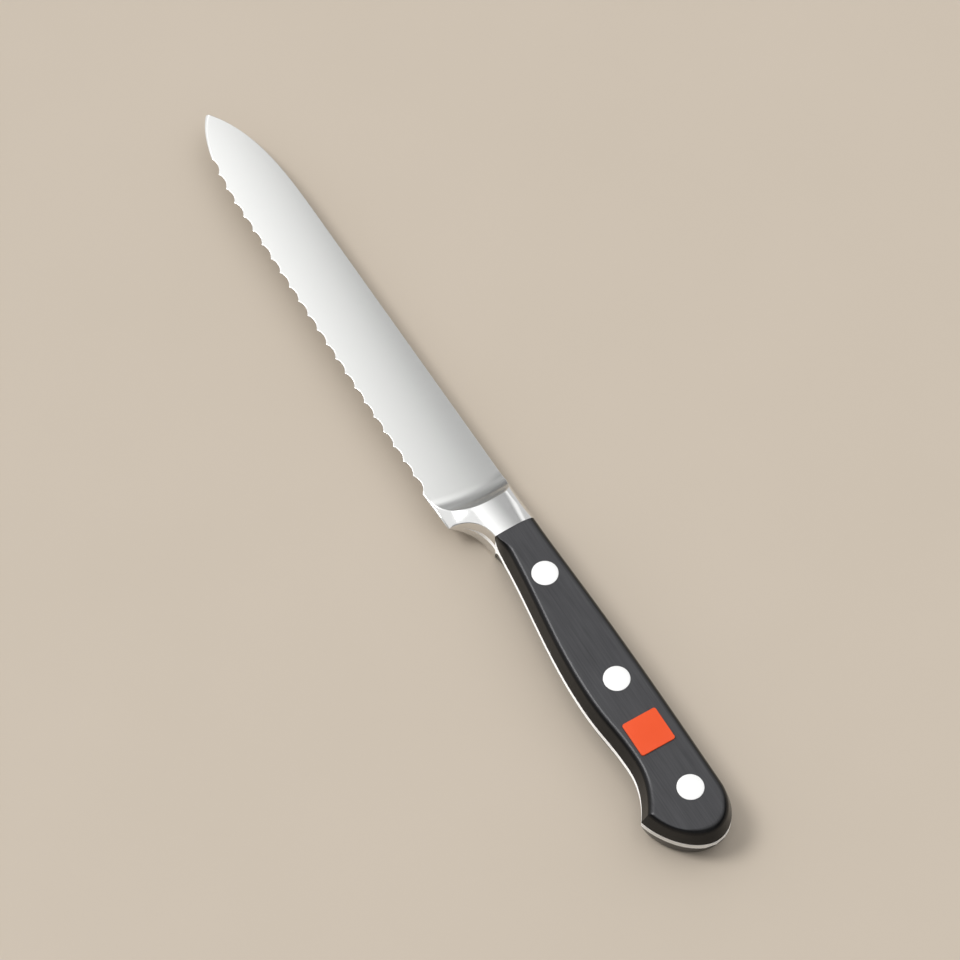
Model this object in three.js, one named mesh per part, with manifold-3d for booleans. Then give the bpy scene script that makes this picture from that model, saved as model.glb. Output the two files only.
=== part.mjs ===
// A serrated utility knife: one forged blade, bolster and tang, two handle scales,
// three two-piece rivets and a plain square badge. Sizes are in millimetres.
//
// While it is drawn, x runs from the tip to the butt, y from the edge to the spine
// (y = 0 passes by the tip) and z from the middle of the blade to its left face. The
// finished group is then set down on the flat of its right scale.
import * as THREE from "three";
import { mergeVertices } from "three/addons/utils/BufferGeometryUtils.js";
import Module from "manifold-3d";

// Blade
const bladeLength = 140.9; // tip to heel
const tipNose = 0.6; // height of the blunted tip
const spineRise = 11.6; // height of the spine at the bolster
const spineFall = 1.98; // fall of the straight spine towards the tip
const spineCurveLength = 42; // stretch where the spine sweeps down to the tip
const edgeDrop = 8.62; // depth of the edge where the scallops end
const edgeFall = 1.57; // fall of the straight edge from the tip's sweep to there
const edgeCurveLength = 33; // stretch where the edge sweeps down from the tip
const heelLift = 0.62; // how far the heel's corner lies above the lowest edge
const spineThickness = 2.1; // at the bolster
const edgeThickness = 0.35; // at the heel's corner
const tipTaper = 0.3; // how much thinner the whole blade is at its tip

// Scallops, ground from the right face only
const plainTip = 13.1; // unscalloped edge at the tip
const plainHeel = 12.6; // least unscalloped edge at the heel
const scallopPitch = 5;
const scallopDepth = 0.8; // measured from the points between the scallops
const pointLift = 0.62; // how far the last point stands above the lowest edge
const pointBow = 0.3; // how far the line of the points bows out on its way there
const grindAngle = THREE.MathUtils.degToRad(15);

// Bolster
const guardLength = 10.35; // heel to the front of the scales
const bolsterSlope = 0.21; // fall of the bolster's face towards the blade
const bolsterReach = 20; // length along which the bolster runs into the blade
const crown = 0.008; // curvature of the bolster's face towards the finger side
const crownEdge = 6; // height where that curvature begins
const crownFade = 5; // stretch by the scales where the face turns flat
const flareTop = -0.3; // height where the face begins to fall away to the heel
const flareSpan = 6.4; // height over which it falls
const flareDrop = 1.4;
const flareLead = 5; // how far before the heel that fall starts
const flareGrowth = 6; // length over which it grows from there
const heelFacetSlope = 0.74; // rise of the facet above the edge, at the heel's corner
const heelFacetTwist = 0.012; // change of that slope for each millimetre along the edge
const dishRadius = 45; // of the round front of the bolster, seen on the flat
const dishSweep = 7.5; // width of the hollow that rises from blade to bolster
const dishRise = 3.3; // height of that hollow
const dishBend = 2.4; // power by which it rises across its width
const rootRadius = 3.2; // fillet between the bolster's back and the tang

// Handle outline
const handleLength = 96.45; // front of the scales to the butt
const handleThickness = 13;
const tangThickness = 2.1;
const tangRoot = 3; // how far the tang is rooted in the bolster
const bellyAtJunction = -0.65;
const neckOffset = 6; // front of the scales to the neck
const bellyAtNeck = -1.15;
const neckSlope = -0.09;
const swellShare = 0.68; // place of the palm swell on the way from neck to waist
const bellyAtSwell = -5.48;
const waistSetback = 26.7; // butt to the waist before the beak
const bellyAtWaist = -4.28;
const beakSetback = 13.5; // butt to the beak's corner
const beakBottom = -9.15;
const buttMiddle = 4; // height of the butt's furthest point
const buttRounding = 11.5; // length of the round from butt to spine
const spinePeakSetback = 25.7; // butt to the spine's highest point
const spineArch = 1.45; // height of that point above the spine at the bolster

// Sides of the scales: how far they lean in, and how round their upper edge is
const bellyLean = 1.5;
const bellyRound = 1.3;
const spineLean = 1.2;
const spineRound = 2.2;
const buttLean = 1.6;
const buttRound = 1.6;
const junctionLeanShare = 0.2; // the belly side stands steeper at the bolster
const beakLeanShare = 0.55; // and leans back as well ahead of the beak

// Rivets and badge, with their heights taken down from the spine at the bolster
const rivetSetback = 15.35; // front of the scales to the front rivet
const rearRivetSetback = 13.45; // butt to the rear rivet
const rivetDrop = 6.95;
const rivetHeadDiameter = 6.8;
const rivetHeadDepth = 2;
const sleeveDiameter = 5;
const sleeveCrown = 1.5; // metal left over the sleeve's blind bore
const pinDiameter = 3;
const rivetEndGap = 0.2; // at either end of the pin's shank and the sleeve
const badgeAdvance = 0.675; // badge ahead of the middle between its two rivets
const badgeDrop = 7.9;
const badgeSide = 9.6;
const badgeCorner = 0.6;
const badgeThickness = 1;
const badgeStandOut = 0.35;

// Fits
const seatGap = 0.05; // between a scale and the steel
const fitGap = 0.05; // round a rivet or the badge, on each side
const overlap = 0.5; // how far bodies that are joined or cut reach past each other

// Handles of the curves, as shares of the length and height that each one spans
const edgeNear = new THREE.Vector2(0.277, 1.074);
const edgeFar = new THREE.Vector2(0.933, 0.997);
const spineNear = new THREE.Vector2(0.27, 0.93);
const spineFar = new THREE.Vector2(0.66, 0.973);
const guardNear = new THREE.Vector2(0.01, 0.28);
const guardFar = new THREE.Vector2(0.32, 1);
const beakNear = new THREE.Vector2(0.47, 0.11);
const beakFar = 0.41;
const neckEase = 0.4;
const swellEase = 0.36;
const waistEase = 0.45;
const napeEase = 0.17;
const peakEase = 0.62;

// Fineness
const curveSteps = 10;
const edgeSamples = 200;
const roundSides = 32;
const roundLevels = 4;
const dishSides = 120;
const dishSteps = 9;
const bolsterSteps = 12;
const crownSteps = 10;
const scallopSteps = 6;

const heelX = bladeLength;
const junctionX = heelX + guardLength;
const buttX = junctionX + handleLength;
const spineCurveRise = spineRise - spineFall;
const spinePeak = spineRise + spineArch;
const edgeCurveDrop = edgeDrop - edgeFall;
const heelDrop = edgeDrop - heelLift;
const half = handleThickness / 2;
const tangHalf = tangThickness / 2;
const scallopCount = Math.floor((bladeLength - plainTip - plainHeel) / scallopPitch);
const scallopEnd = plainTip + scallopCount * scallopPitch;
const frontRivetX = junctionX + rivetSetback;
const rearRivetX = buttX - rearRivetSetback;
const middleRivetX = (frontRivetX + rearRivetX) / 2;
const rivetHeight = spineRise - rivetDrop;
const badgeX = (middleRivetX + rearRivetX) / 2 - badgeAdvance;
const badgeHeight = spineRise - badgeDrop;
const badgeTop = half + badgeStandOut;
const badgeFloor = badgeTop - badgeThickness;
const bigger = 2 * (bladeLength + handleLength); // past the knife on every side

const wasm = await Module();
wasm.setup();

// A closed geometry as a solid that can be joined and cut.
function solid(geometry) {
  const bare = new THREE.BufferGeometry();
  bare.setAttribute("position", geometry.getAttribute("position"));
  bare.setIndex(geometry.index);
  const merged = mergeVertices(bare, 1e-5);
  const vertProperties = merged.getAttribute("position").array;
  const triVerts = new Uint32Array(merged.index.array);
  return new wasm.Manifold(new wasm.Mesh({ numProp: 3, vertProperties, triVerts }));
}

function geometryOf(body) {
  const mesh = body.getMesh();
  const geometry = new THREE.BufferGeometry();
  geometry.setAttribute("position", new THREE.BufferAttribute(mesh.vertProperties, 3));
  geometry.setIndex(new THREE.BufferAttribute(mesh.triVerts, 1));
  geometry.computeVertexNormals();
  return geometry;
}

// The same geometry on the other side of the blade's middle plane.
function mirrored(geometry) {
  const copy = geometry.index ? geometry.clone() : mergeVertices(geometry.clone());
  copy.applyMatrix4(new THREE.Matrix4().makeScale(1, 1, -1));
  const index = copy.index.array;
  for (let i = 0; i < index.length; i += 3) {
    [index[i], index[i + 1]] = [index[i + 1], index[i]];
  }
  return copy;
}

// A body through closed rings of equal length, closed by flat caps. A ring turns
// anticlockwise as seen from the rings after it, and cap gives its points on the flat.
function loft(rings, cap) {
  const count = rings[0].length;
  const last = (rings.length - 1) * count;
  const index = [];
  for (let start = 0; start < last; start += count) {
    for (let i = 0; i < count; i += 1) {
      const a = start + i;
      const b = start + ((i + 1) % count);
      index.push(a, b, b + count, a, b + count, a + count);
    }
  }
  for (const [a, b, c] of THREE.ShapeUtils.triangulateShape(rings[0].map(cap), [])) {
    index.push(c, b, a);
  }
  for (const [a, b, c] of THREE.ShapeUtils.triangulateShape(rings.at(-1).map(cap), [])) {
    index.push(last + a, last + b, last + c);
  }
  const geometry = new THREE.BufferGeometry().setFromPoints(rings.flat());
  geometry.setIndex(index);
  return geometry;
}

// A shape drawn on the flat, as a slab from one height to another.
function slab(shape, low, high) {
  const geometry = new THREE.ExtrudeGeometry(shape, {
    depth: high - low,
    bevelEnabled: false,
    curveSegments: curveSteps,
  });
  return geometry.translate(0, 0, low);
}

function rod(x, y, radius, low, high) {
  const geometry = new THREE.CylinderGeometry(radius, radius, high - low, roundSides);
  return geometry.rotateX(Math.PI / 2).translate(x, y, (low + high) / 2);
}

// How far a scale's side has leaned in at height z above the blade's middle plane: a
// straight lean from the tang, then a round into the flat of the scale.
function sideInset(z, lean, round) {
  const height = half - tangHalf;
  const up = THREE.MathUtils.clamp((z - tangHalf) / height, 0, 1);
  const over = Math.max(0, (z - (half - round)) / round);
  return lean * up + round * (1 - Math.sqrt(Math.max(0, 1 - over * over)));
}

function spineInset(z) {
  return sideInset(z, spineLean, spineRound);
}

// Heights at which the sides of a scale are drawn, from its inner face to its outer one.
function sideLevels(start) {
  const drops = [bellyRound, bellyRound / 3];
  for (let i = 0; i <= roundLevels; i += 1) {
    drops.push(spineRound * (1 - Math.sin((i / roundLevels) * (Math.PI / 2))));
  }
  return [start, ...drops.sort((a, b) => b - a).map((drop) => half - drop)];
}

// The handle seen on the flat, drawn in from the tang's own outline by these amounts.
function handleOutline(front, belly, butt, spine) {
  const neckX = junctionX + neckOffset;
  const waistX = buttX - waistSetback;
  const swellX = THREE.MathUtils.lerp(neckX, waistX, swellShare);
  const beakX = buttX - beakSetback;
  const peakX = buttX - spinePeakSetback;
  const roundX = buttX - buttRounding;
  const seatX = Math.max(front, junctionX);
  const start = bellyAtJunction + junctionLeanShare * belly;
  const neck = bellyAtNeck + belly;
  const swell = bellyAtSwell + belly;
  const waist = bellyAtWaist + belly;
  const beak = beakBottom + belly;
  const nape = spineRise - spine;
  const top = spinePeak - spine;
  const bend = neckEase * neckOffset;
  const reach = swellEase * (swellX - neckX);
  const lift = waistEase * (waistX - swellX);
  const back = beakLeanShare * belly;
  const rise = peakX - junctionX;
  const path = new THREE.Path();
  path.moveTo(front, start);
  path.lineTo(seatX, start);
  path.bezierCurveTo(junctionX + bend, start, neckX - bend, neck - bend * neckSlope, neckX, neck);
  path.bezierCurveTo(neckX + reach, neck + reach * neckSlope, swellX - reach, swell, swellX, swell);
  path.bezierCurveTo(swellX + lift, swell, waistX - lift, waist, waistX, waist);
  path.quadraticCurveTo((waistX + beakX) / 2 + back, waist, beakX + back, beak);
  path.bezierCurveTo(
    beakX + back + beakNear.x * beakSetback,
    beak + beakNear.y * beakSetback,
    buttX - butt,
    buttMiddle - beakFar * beakSetback,
    buttX - butt,
    buttMiddle,
  );
  path.absellipse(roundX, buttMiddle, buttRounding - butt, top - buttMiddle, 0, Math.PI / 2);
  path.lineTo(peakX, top);
  path.bezierCurveTo(peakX - peakEase * rise, top, junctionX + napeEase * rise, nape, seatX, nape);
  path.lineTo(front, nape);
  return path.getPoints(curveSteps);
}

// One side of the handle from a height near the tang to the flat of the scale.
function handleSide(front, start) {
  const rings = sideLevels(start).map((z) => {
    const belly = sideInset(z, bellyLean, bellyRound);
    const butt = sideInset(z, buttLean, buttRound);
    const outline = handleOutline(front, belly, butt, spineInset(z));
    return outline.map((point) => new THREE.Vector3(point.x, point.y, z));
  });
  return loft(rings, (point) => new THREE.Vector2(point.x, point.y));
}

// The sweep of the edge from the tip to where it runs straight.
const tipEdge = new THREE.CubicBezierCurve(
  new THREE.Vector2(0, 0),
  new THREE.Vector2(edgeNear.x * edgeCurveLength, -edgeNear.y * edgeCurveDrop),
  new THREE.Vector2(edgeFar.x * edgeCurveLength, -edgeFar.y * edgeCurveDrop),
  new THREE.Vector2(edgeCurveLength, -edgeCurveDrop),
);
const tipEdgePoints = tipEdge.getPoints(edgeSamples);

// The line on which the points between the scallops lie.
function pointOn(x) {
  if (x > edgeCurveLength) {
    const share = (x - edgeCurveLength) / (scallopEnd - edgeCurveLength);
    const bow = pointBow * share * share * (1 - share) * (27 / 4);
    return new THREE.Vector2(x, -edgeCurveDrop - share * (edgeFall - pointLift) - bow);
  }
  const next = tipEdgePoints.findIndex((point, i) => i > 0 && point.x >= x);
  const [a, b] = [tipEdgePoints[next - 1], tipEdgePoints[next]];
  return new THREE.Vector2(x, THREE.MathUtils.mapLinear(x, a.x, b.x, a.y, b.y));
}

// Blade and bolster seen on the flat, before the scallops.
function bladeOutline() {
  const shape = new THREE.Shape();
  const guardRise = bellyAtJunction + heelDrop;
  shape.moveTo(tipEdge.v0.x, tipEdge.v0.y);
  shape.bezierCurveTo(tipEdge.v1.x, tipEdge.v1.y, tipEdge.v2.x, tipEdge.v2.y, tipEdge.v3.x, tipEdge.v3.y);
  shape.lineTo(scallopEnd, -edgeDrop);
  shape.lineTo(heelX, -heelDrop);
  shape.bezierCurveTo(
    heelX + guardNear.x * guardLength,
    guardNear.y * guardRise - heelDrop,
    heelX + guardFar.x * guardLength,
    guardFar.y * guardRise - heelDrop,
    junctionX,
    bellyAtJunction,
  );
  shape.lineTo(junctionX, spineRise);
  shape.lineTo(spineCurveLength, spineCurveRise);
  shape.bezierCurveTo(
    spineFar.x * spineCurveLength,
    spineFar.y * spineCurveRise,
    spineNear.x * spineCurveLength,
    spineNear.y * spineCurveRise,
    tipNose / 2,
    tipNose,
  );
  return shape;
}

// Half the blade's thickness: its two faces are planes that close towards edge and tip.
function bladeHalf(x, y) {
  const across = (spineThickness - edgeThickness) / (spineRise + heelDrop);
  const along = tipTaper / bladeLength;
  return (spineThickness + across * (y - spineRise) + along * (x - heelX)) / 2;
}

// Carries a geometry from the plane z = 0 to a point of the blade's left face.
function ontoBlade(geometry, x, y) {
  const z = bladeHalf(x, y);
  const along = bladeHalf(x + 1, y) - z;
  const across = bladeHalf(x, y + 1) - z;
  const normal = new THREE.Vector3(-along, -across, 1).normalize();
  const up = new THREE.Vector3(0, 0, 1);
  const turn = new THREE.Quaternion().setFromUnitVectors(up, normal);
  return geometry.applyQuaternion(turn).translate(x, y, z);
}

// Everything on the inner side of the blade's left face.
function bladeSide() {
  const box = new THREE.BoxGeometry(bigger, bigger, bigger).translate(0, 0, -bigger / 2);
  return ontoBlade(box, heelX / 2, 0);
}

// The bolster's face at a point of its flat, before the hollow front is cut.
function bolsterFace(x, y) {
  const back = junctionX - x;
  const fade = Math.min(1, back / crownFade);
  const round = Math.max(0, crownEdge - y);
  const grown = THREE.MathUtils.smoothstep(x - heelX + flareLead, 0, flareGrowth);
  const flare = flareDrop * grown * THREE.MathUtils.smoothstep(flareTop - y, 0, flareSpan);
  const face = half - bolsterSlope * back - fade * (crown * round * round + flare);
  const slope = Math.max(0, heelFacetSlope + heelFacetTwist * (x - heelX));
  const edge = edgeThickness / 2;
  return Math.max(edge, Math.min(face, edge + slope * (y + heelDrop)));
}

function bolsterBlock() {
  const heights = [];
  for (let i = 0; i <= crownSteps; i += 1) {
    heights.push(THREE.MathUtils.lerp(crownEdge, -edgeDrop - overlap, i / crownSteps));
  }
  const rings = [];
  for (let i = 0; i <= bolsterSteps; i += 1) {
    const x = junctionX - (1 - i / bolsterSteps) * bolsterReach;
    const squeeze = Math.max(0, (bolsterFace(x, spineRise) - tangHalf) / (half - tangHalf));
    const spineSide = sideLevels(tangHalf).map((z) => {
      return new THREE.Vector3(x, spineRise - spineInset(z), tangHalf + (z - tangHalf) * squeeze);
    });
    const fingerSide = heights.map((y) => new THREE.Vector3(x, y, bolsterFace(x, y)));
    const upper = [...spineSide, ...fingerSide];
    const lower = upper.map((point) => new THREE.Vector3(point.x, point.y, -point.z));
    rings.push([...upper, ...lower.reverse()]);
  }
  return loft(rings, (point) => new THREE.Vector2(point.y, point.z));
}

// The round hollow that a wheel leaves between the blade's left face and the bolster.
function hollowFront() {
  const above = 2 * half;
  const flat = dishRadius - dishSweep;
  const profile = [new THREE.Vector2(0, 0)];
  for (let i = 0; i <= dishSteps; i += 1) {
    const share = i / dishSteps;
    profile.push(new THREE.Vector2(flat + share * dishSweep, dishRise * share ** dishBend));
  }
  profile.push(new THREE.Vector2(dishRadius + dishSweep, above));
  profile.push(new THREE.Vector2(0, above));
  const geometry = new THREE.LatheGeometry(profile, dishSides).rotateX(Math.PI / 2);
  return ontoBlade(geometry, heelX - dishRadius, spineRise / 2);
}

// The fillet where the bolster's back meets the tang, grown by a gap to clear it.
function rootFillet(gap) {
  const shape = new THREE.Shape();
  const frontX = junctionX - overlap;
  const endX = junctionX + rootRadius;
  const endZ = tangHalf + rootRadius;
  shape.moveTo(frontX, tangHalf / 2);
  shape.lineTo(endX, tangHalf / 2);
  shape.absarc(endX, endZ, rootRadius - gap, -Math.PI / 2, -Math.PI, true);
  shape.lineTo(frontX, endZ);
  return slab(shape, -bigger, bigger).rotateX(Math.PI / 2);
}

// The wheel's groove for one scallop: it breaks through the left face between two points
// of the edge and runs out on the right face above them.
function scallopGroove(number) {
  const first = pointOn(plainTip + number * scallopPitch);
  const second = pointOn(plainTip + (number + 1) * scallopPitch);
  const width = first.distanceTo(second);
  const roundness = (width ** 2 / 4 + scallopDepth ** 2) / (2 * scallopDepth);
  const radius = roundness / Math.sin(grindAngle);
  const side = width / 2 + overlap;
  const spread = Math.asin(side / radius);
  const shape = new THREE.Shape();
  shape.moveTo(side, spineThickness);
  shape.lineTo(-side, spineThickness);
  shape.absarc(0, radius, radius, -Math.PI / 2 - spread, -Math.PI / 2 + spread);
  const geometry = new THREE.ExtrudeGeometry(shape, {
    depth: 2 * scallopPitch,
    bevelEnabled: false,
    curveSegments: scallopSteps,
  });
  const way = second.clone().sub(first).normalize();
  const along = new THREE.Vector3(way.x, way.y, 0);
  const up = new THREE.Vector3(-way.y, way.x, 0);
  const left = new THREE.Vector3(0, 0, 1);
  const [lean, rest] = [Math.sin(grindAngle), Math.cos(grindAngle)];
  const inward = up.clone().multiplyScalar(-lean).addScaledVector(left, -rest);
  const run = up.clone().multiplyScalar(rest).addScaledVector(left, -lean);
  const middle = first.clone().add(second).divideScalar(2);
  const deepest = new THREE.Vector3(middle.x, middle.y, 0).addScaledVector(up, scallopDepth);
  deepest.z = bladeHalf(deepest.x, deepest.y);
  const start = deepest.addScaledVector(run, -scallopPitch);
  return geometry.applyMatrix4(new THREE.Matrix4().makeBasis(along, inward, run).setPosition(start));
}

function bladeAndTang() {
  const outline = solid(slab(bladeOutline(), -handleThickness, handleThickness));
  const side = bladeSide();
  let blade = outline.intersect(solid(side)).intersect(solid(mirrored(side)));
  for (let number = 0; number < scallopCount; number += 1) {
    blade = blade.subtract(solid(scallopGroove(number)));
  }
  const hollow = hollowFront();
  const bolster = solid(bolsterBlock())
    .subtract(solid(hollow))
    .subtract(solid(mirrored(hollow)))
    .intersect(outline);
  const tang = new THREE.Shape(handleOutline(junctionX - tangRoot, 0, 0, 0));
  let forging = blade.add(bolster).add(solid(slab(tang, -tangHalf, tangHalf)));
  const flank = handleSide(junctionX - overlap, 0);
  const fillet = rootFillet(0);
  forging = forging.add(solid(flank).intersect(solid(fillet)));
  forging = forging.add(solid(mirrored(flank)).intersect(solid(mirrored(fillet))));
  for (const x of [frontRivetX, middleRivetX, rearRivetX]) {
    const hole = rod(x, rivetHeight, sleeveDiameter / 2 + fitGap, -tangThickness, tangThickness);
    forging = forging.subtract(solid(hole));
  }
  return forging;
}

function badgeShape(gap) {
  const side = badgeSide / 2 + gap;
  const corner = badgeCorner + gap;
  const inner = side - corner;
  const shape = new THREE.Shape();
  for (let quarter = 0; quarter < 4; quarter += 1) {
    const turn = (quarter * Math.PI) / 2;
    const x = inner * (quarter === 0 || quarter === 3 ? 1 : -1);
    const y = inner * (quarter < 2 ? 1 : -1);
    shape.absarc(badgeX + x, badgeHeight + y, corner, turn, turn + Math.PI / 2);
  }
  return shape;
}

// One scale as it lies on the left side, with its rivet holes.
function scale() {
  let body = solid(handleSide(junctionX + seatGap, tangHalf + seatGap));
  body = body.subtract(solid(rootFillet(seatGap)));
  for (const x of [frontRivetX, middleRivetX, rearRivetX]) {
    const hole = rod(x, rivetHeight, sleeveDiameter / 2 + fitGap, 0, handleThickness);
    const headRadius = rivetHeadDiameter / 2 + fitGap;
    const head = rod(x, rivetHeight, headRadius, half - rivetHeadDepth, handleThickness);
    body = body.subtract(solid(hole)).subtract(solid(head));
  }
  return body;
}

function leftScale() {
  return scale().subtract(solid(slab(badgeShape(fitGap), badgeFloor, handleThickness)));
}

// A round body on a rivet's axis, from points of (radius, height) that start and end on it.
function turned(profile, x) {
  const points = profile.map(([radius, height]) => new THREE.Vector2(radius, height));
  const geometry = new THREE.LatheGeometry(points, roundSides);
  return geometry.rotateX(Math.PI / 2).translate(x, rivetHeight, 0);
}

const headRadius = rivetHeadDiameter / 2;
const sleeveRadius = sleeveDiameter / 2;
const boreRadius = pinDiameter / 2 + fitGap;
const seat = half - rivetHeadDepth;
const mouth = rivetEndGap - seat;
const boreEnd = half - sleeveCrown;
const pinEnd = boreEnd - rivetEndGap;

function rivetSleeve(x) {
  return turned(
    [
      [0, boreEnd],
      [boreRadius, boreEnd],
      [boreRadius, mouth],
      [sleeveRadius, mouth],
      [sleeveRadius, seat],
      [headRadius, seat],
      [headRadius, half],
      [0, half],
    ],
    x,
  );
}

function rivetPin(x) {
  return turned(
    [
      [0, -half],
      [headRadius, -half],
      [headRadius, -seat],
      [pinDiameter / 2, -seat],
      [pinDiameter / 2, pinEnd],
      [0, pinEnd],
    ],
    x,
  );
}

const steel = { color: 0xd8d9d5, roughness: 0.28, metalness: 1 };
const black = { color: 0x262627, roughness: 0.5, metalness: 0 };
const bright = { color: 0xf0f0ee, roughness: 0.2, metalness: 1 };
const red = { color: 0xe5501f, roughness: 0.35, metalness: 0 };

const knife = new THREE.Group();

function put(name, geometry, finish) {
  const mesh = new THREE.Mesh(geometry, new THREE.MeshStandardMaterial(finish));
  mesh.name = name;
  knife.add(mesh);
}

put("blade_and_tang", geometryOf(bladeAndTang()), steel);
put("left_scale", geometryOf(leftScale()), black);
put("right_scale", mirrored(geometryOf(scale())), black);
const rivets = { front: frontRivetX, middle: middleRivetX, rear: rearRivetX };
for (const [place, x] of Object.entries(rivets)) {
  put(place + "_rivet_sleeve", rivetSleeve(x), bright);
  put(place + "_rivet_pin", rivetPin(x), bright);
}
put("handle_badge", slab(badgeShape(0), badgeFloor, badgeTop), red);

// Set the knife down: middle of its length and height at x = y = 0, right scale on z = 0.
const box = new THREE.Box3().setFromObject(knife);
const middle = box.getCenter(new THREE.Vector3());
knife.position.set(-middle.x, -middle.y, -box.min.z);

export default knife;
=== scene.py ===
import math

import bmesh
import bpy
import numpy as np
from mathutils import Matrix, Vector
from mathutils.geometry import delaunay_2d_cdt


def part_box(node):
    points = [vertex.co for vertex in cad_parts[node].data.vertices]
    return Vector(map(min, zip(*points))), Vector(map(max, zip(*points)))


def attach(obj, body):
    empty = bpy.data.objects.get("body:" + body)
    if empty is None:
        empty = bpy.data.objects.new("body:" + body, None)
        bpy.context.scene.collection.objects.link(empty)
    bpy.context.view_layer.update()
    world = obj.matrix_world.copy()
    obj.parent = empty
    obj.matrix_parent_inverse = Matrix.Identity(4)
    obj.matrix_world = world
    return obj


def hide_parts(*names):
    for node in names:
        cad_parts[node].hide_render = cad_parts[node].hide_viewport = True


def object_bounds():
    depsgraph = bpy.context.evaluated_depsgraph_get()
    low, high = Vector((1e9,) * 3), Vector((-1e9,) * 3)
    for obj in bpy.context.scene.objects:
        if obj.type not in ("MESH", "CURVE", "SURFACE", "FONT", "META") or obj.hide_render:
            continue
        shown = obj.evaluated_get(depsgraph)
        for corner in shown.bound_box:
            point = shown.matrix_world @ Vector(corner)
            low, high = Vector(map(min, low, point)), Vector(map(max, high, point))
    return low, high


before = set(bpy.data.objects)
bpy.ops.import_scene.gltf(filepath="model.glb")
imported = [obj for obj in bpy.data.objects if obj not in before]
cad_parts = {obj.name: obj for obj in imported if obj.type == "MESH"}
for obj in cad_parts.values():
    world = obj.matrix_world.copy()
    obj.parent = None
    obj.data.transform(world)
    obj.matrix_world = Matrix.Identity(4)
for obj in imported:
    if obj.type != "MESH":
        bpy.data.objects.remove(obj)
cad_low, cad_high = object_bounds()

# The knife is drawn in millimetres, as its solids are: x from tip to butt, y from edge to
# spine (y = 0 passes by the tip), z from the middle of the blade to its left face.
MM = 0.001

# Blade
BLADE_LENGTH = 140.9
TIP_NOSE = 0.6
SPINE_RISE = 11.6
SPINE_FALL = 1.98
SPINE_CURVE_LENGTH = 42
SPINE_NEAR = (0.27, 0.93)  # handles of the curves, as shares of their length and rise
SPINE_FAR = (0.66, 0.973)
EDGE_DROP = 8.62
EDGE_FALL = 1.57
EDGE_CURVE_LENGTH = 33
EDGE_NEAR = (0.277, 1.074)
EDGE_FAR = (0.933, 0.997)
HEEL_LIFT = 0.62
SPINE_THICKNESS = 2.1
EDGE_THICKNESS = 0.35
TIP_TAPER = 0.3
BLADE_BULGE = 0.0016  # convex grind: height per square millimetre from edge and spine
BULGE_GAIN = 0.0018  # how much fuller the grind is at the heel than at the tip
EDGE_BEVEL = 0.6  # slope of the fine bevel along the plain parts of the edge
EDGE_LAND = 0.03  # half thickness left at the very edge
SPINE_EASE = 0.08  # rounding of the spine's corners

# Scallops
PLAIN_TIP = 13.1
SCALLOP_PITCH = 5
SCALLOP_COUNT = 23
SCALLOP_DEPTH = 0.8
POINT_LIFT = 0.62
POINT_BOW = 0.3
BOW_SCALE = 27 / 4  # brings the peak of the bow's curve to POINT_BOW
POINT_EASE = 0.06  # height of the fine bevel along the scallops
GRIND_ANGLE = 15
GRIND_RUN_ON = 0.45  # how far the grind runs on past the last scallop
ARC_RUN_ON = 0.7  # how far the last arc is drawn on, to meet the plain heel

# Bolster
BOLSTER_SLOPE = 0.21
BOLSTER_REACH = 2  # it is worked out from this many sweeps of the hollow before the heel
CROWN = 0.008
CROWN_EDGE = 6
CROWN_FADE = 7
FLARE_TOP = -0.3
FLARE_SPAN = 6.4
FLARE_DROP = 1.4
FLARE_LEAD = 5  # the flare starts this far before the heel
FLARE_GROWTH = 6  # and grows over this length
HEEL_FACET_SLOPE = 0.74
HEEL_FACET_TWIST = 0.012
FACET_ROUNDING = 0.6  # of the line between the bolster's face and the heel's facet
FACET_LEAST = 0.01  # share of that rounding which is left at the heel's height
DISH_RADIUS = 45
DISH_SWEEP = 7.5
DISH_RISE = 3.3
DISH_BEND = 2.4  # power by which the hollow front rises
CREASE_ROUNDING = 0.2  # of the line between the hollow front and the bolster's face
CREASE_GROWTH = 2  # height of the hollow front at which that rounding is full
CREASE_LEAST = 0.03  # share of that rounding which is left where the front starts
ROOT_RADIUS = 3.2
RIDGE_AT_JUNCTION = 7.9  # where the flat along the bolster's spine side starts
RIDGE_DRIFT = 0.11  # how much higher it starts per millimetre towards the blade
RIDGE_SLOPE = 0.36
RIDGE_ROUNDING = 2.2  # width over which the face turns into that flat
GUARD_NEAR = (0.01, 0.28)  # handles of the finger side's curve, as shares of length and rise
GUARD_FAR = 0.32
GUARD_EASE = 0.35  # rounding of the bolster's corners on the finger side
GUARD_EASE_REACH = 0.65  # it starts this many sweeps of the hollow before the heel
EASE_LIMIT = 0.5  # and takes at most this share of the height
STRIP_START = 1.5  # the tang's satin strip under the bolster starts this far behind the heel
STRIP_GROWTH = 5  # and widens to the tang's thickness over this length

# Handle
TANG_THICKNESS = 2.1
TANG_EASE = 0.12
BELLY_AT_JUNCTION = -0.65
NECK_OFFSET = 6
BELLY_AT_NECK = -1.15
NECK_SLOPE = -0.09
NECK_EASE = 0.4  # handles of the curves, as shares of the stretches they lie on
SWELL_SHARE = 0.68
SWELL_EASE = 0.36
BELLY_AT_SWELL = -5.48
WAIST_SETBACK = 26.7
WAIST_EASE = 0.45
BELLY_AT_WAIST = -4.28
BEAK_SETBACK = 13.5
BEAK_BOTTOM = -9.15
BEAK_NEAR = (0.47, 0.11)
BEAK_FAR = 0.41
BUTT_MIDDLE = 4
BUTT_ROUNDING = 11.5
SPINE_PEAK_SETBACK = 25.7
SPINE_ARCH = 1.45
NAPE_EASE = 0.17
PEAK_EASE = 0.62
BELLY_LEAN = 1.5
BELLY_ROUND = 1.3
SPINE_LEAN = 1.2
SPINE_ROUND = 2.2
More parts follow.
